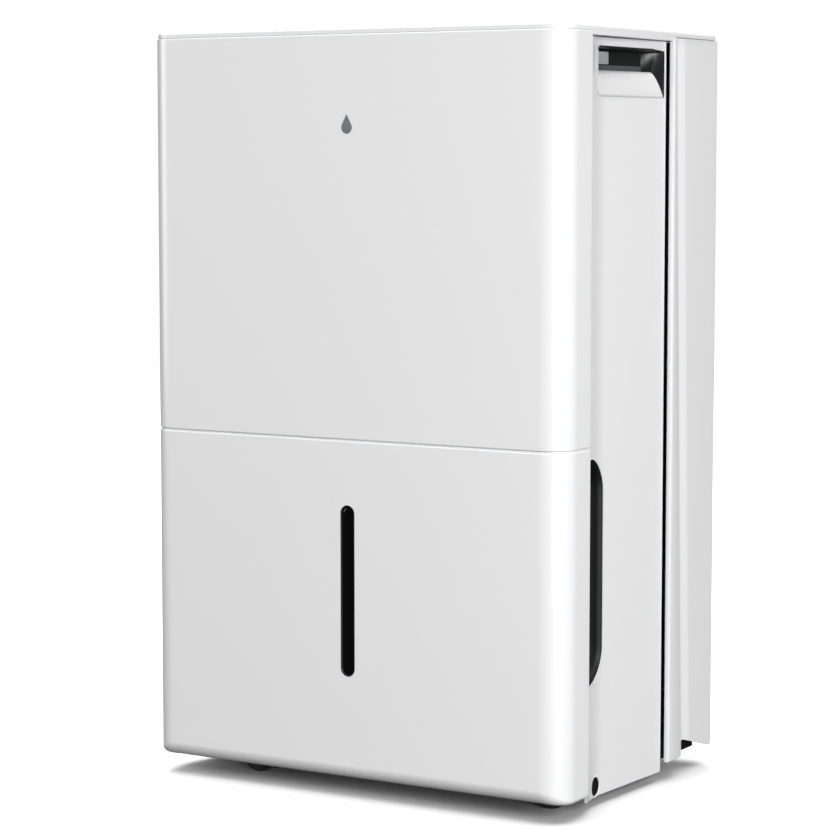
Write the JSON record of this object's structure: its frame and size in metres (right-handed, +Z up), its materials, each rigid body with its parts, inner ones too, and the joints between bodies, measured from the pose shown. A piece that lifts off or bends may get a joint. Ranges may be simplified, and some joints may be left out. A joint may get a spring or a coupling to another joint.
{
  "type": "dehumidifier",
  "caption": "Upright portable compressor dehumidifier on casters: white cabinet, slide-out water bucket with level window, side carry handles, rear intake filter, top controls and outlet.",
  "frame": {"origin": "on the floor under the middle of the cabinet", "axes": "+Z up, front faces -Y, +X to the right when seen from the front"},
  "size_m": [0.392, 0.282, 0.62],
  "materials": {
    "white_plastic": "smooth satin-gloss ABS, moulded",
    "grey_plastic": "fine-textured light grey ABS",
    "black_plastic": "black polypropylene, fine texture",
    "black_gloss": "glossy black fascia",
    "tinted_window": "smoke-tinted clear plastic",
    "tank_plastic": "natural translucent polypropylene",
    "float_foam": "white closed-cell foam",
    "steel": "zinc-plated steel",
    "can_steel": "black painted steel can",
    "copper": "bare copper tube",
    "coil_metal": "aluminium fins on copper tube",
    "board": "green circuit laminate",
    "rubber": "moulded rubber",
    "tyre": "hard black polyurethane tread",
    "mesh": "grey nylon dust mesh",
    "badge": "flush grey inlay"
  },
  "bodies": {
    "cabinet": {"base": "black_plastic", "bucket_bay": "grey_plastic", "bucket_switch": "black_plastic", "bulkhead": "grey_plastic", "capillary_pipe": "copper", "compressor": "can_steel", "compressor_feet": "rubber", "condenser": "coil_metal", "control_board": "board", "control_fascia": "black_gloss", "cord_gland": "rubber", "discharge_pipe": "copper", "display_lens": "tinted_window", "drain_cup": "grey_plastic", "drain_pan": "grey_plastic", "evaporator": "coil_metal", "fan_duct": "grey_plastic", "fan_motor": "steel", "front_badge": "badge", "gap_strips": "black_plastic", "left_grip_liner": "black_plastic", "left_handle_scoop": "white_plastic", "left_side_panel": "white_plastic", "outlet_grille": "white_plastic", "rear_cover": "white_plastic", "rear_screws": "steel", "right_grip_liner": "black_plastic", "right_handle_scoop": "white_plastic", "right_side_panel": "white_plastic", "side_screw_plugs": "rubber", "suction_accumulator": "can_steel", "suction_pipe": "copper", "top_cover": "white_plastic", "upper_front_panel": "white_plastic"},
    "bucket": {"bucket_front": "white_plastic", "water_window": "tinted_window", "bucket_tank": "tank_plastic", "bucket_lid": "grey_plastic"},
    "bucket_bail": {"bucket_handle": "steel"},
    "float": {"bucket_float": "float_foam"},
    "full_lever": {"switch_lever": "steel"},
    "filter": {"filter_grille": "white_plastic", "filter_mesh": "mesh"},
    "drain_plug": {"drain_cap": "black_plastic"},
    "fan": {"fan_wheel": "black_plastic", "fan_shaft": "steel"},
    "button_down_key": {"button_down": "white_plastic"},
    "button_fan_key": {"button_fan": "white_plastic"},
    "button_power_key": {"button_power": "white_plastic"},
    "button_timer_key": {"button_timer": "white_plastic"},
    "button_up_key": {"button_up": "white_plastic"},
    "front_right_swivel": {"front_right_caster_fork": "black_plastic"},
    "front_right_wheel_pair": {"front_right_caster_wheels": "tyre"},
    "front_left_swivel": {"front_left_caster_fork": "black_plastic"},
    "front_left_wheel_pair": {"front_left_caster_wheels": "tyre"},
    "rear_right_swivel": {"rear_right_caster_fork": "black_plastic"},
    "rear_right_wheel_pair": {"rear_right_caster_wheels": "tyre"},
    "rear_left_swivel": {"rear_left_caster_fork": "black_plastic"},
    "rear_left_wheel_pair": {"rear_left_caster_wheels": "tyre"}
  },
  "joints": [
    {"name": "bucket_slide", "type": "slide", "parent": "cabinet", "child": "bucket", "axis": [0, -1, 0], "range_m": [0, 0.26]},
    {"name": "bail_hinge", "type": "hinge", "parent": "bucket", "child": "bucket_bail", "pos_m": [0, -0.064, 0.252], "axis": [1, 0, 0], "range_deg": [0, 90]},
    {"name": "float_rise", "type": "slide", "parent": "bucket", "child": "float", "axis": [0, 0, 1], "range_m": [0, 0.012]},
    {"name": "lever_hinge", "type": "hinge", "parent": "cabinet", "child": "full_lever", "pos_m": [-0.12, -0.002, 0.273], "axis": [-1, 0, 0], "range_deg": [0, 10], "stiffness_Nm_per_rad": 0.004, "springref_deg": -17.19},
    {"name": "filter_pull", "type": "slide", "parent": "cabinet", "child": "filter", "axis": [0, 1, 0], "range_m": [0, 0.06]},
    {"name": "drain_cap_off", "type": "slide", "parent": "cabinet", "child": "drain_plug", "axis": [0, 1, 0], "range_m": [0, 0.03]},
    {"name": "fan_spin", "type": "hinge", "parent": "cabinet", "child": "fan", "pos_m": [0, 0.03, 0.44], "axis": [0, 1, 0], "continuous": true},
    {"name": "button_down_press", "type": "slide", "parent": "cabinet", "child": "button_down_key", "axis": [0, 0, -1], "range_m": [0, 0.0008], "stiffness_N_per_m": 1500},
    {"name": "button_fan_press", "type": "slide", "parent": "cabinet", "child": "button_fan_key", "axis": [0, 0, -1], "range_m": [0, 0.0008], "stiffness_N_per_m": 1500},
    {"name": "button_power_press", "type": "slide", "parent": "cabinet", "child": "button_power_key", "axis": [0, 0, -1], "range_m": [0, 0.0008], "stiffness_N_per_m": 1500},
    {"name": "button_timer_press", "type": "slide", "parent": "cabinet", "child": "button_timer_key", "axis": [0, 0, -1], "range_m": [0, 0.0008], "stiffness_N_per_m": 1500},
    {"name": "button_up_press", "type": "slide", "parent": "cabinet", "child": "button_up_key", "axis": [0, 0, -1], "range_m": [0, 0.0008], "stiffness_N_per_m": 1500},
    {"name": "front_right_swivel_turn", "type": "hinge", "parent": "cabinet", "child": "front_right_swivel", "pos_m": [0.13482, -0.07982, 0.049], "axis": [0, 0, 1], "continuous": true},
    {"name": "front_right_wheel_roll", "type": "hinge", "parent": "front_right_swivel", "child": "front_right_wheel_pair", "pos_m": [0.15317, -0.0749, 0.021], "axis": [-0.2588, 0.9659, 0], "continuous": true},
    {"name": "front_left_swivel_turn", "type": "hinge", "parent": "cabinet", "child": "front_left_swivel", "pos_m": [-0.13482, -0.07982, 0.049], "axis": [0, 0, 1], "continuous": true},
    {"name": "front_left_wheel_roll", "type": "hinge", "parent": "front_left_swivel", "child": "front_left_wheel_pair", "pos_m": [-0.11639, -0.08442, 0.021], "axis": [0.2419, 0.9703, 0], "continuous": true},
    {"name": "rear_right_swivel_turn", "type": "hinge", "parent": "cabinet", "child": "rear_right_swivel", "pos_m": [0.13482, 0.08282, 0.049], "axis": [0, 0, 1], "continuous": true},
    {"name": "rear_right_wheel_roll", "type": "hinge", "parent": "rear_right_swivel", "child": "rear_right_wheel_pair", "pos_m": [0.13317, 0.10175, 0.021], "axis": [-0.9962, -0.0872, 0], "continuous": true},
    {"name": "rear_left_swivel_turn", "type": "hinge", "parent": "cabinet", "child": "rear_left_swivel", "pos_m": [-0.13482, 0.08282, 0.049], "axis": [0, 0, 1], "continuous": true},
    {"name": "rear_left_wheel_roll", "type": "hinge", "parent": "rear_left_swivel", "child": "rear_left_wheel_pair", "pos_m": [-0.12532, 0.09928, 0.021], "axis": [-0.866, 0.5, 0], "continuous": true}
  ]
}
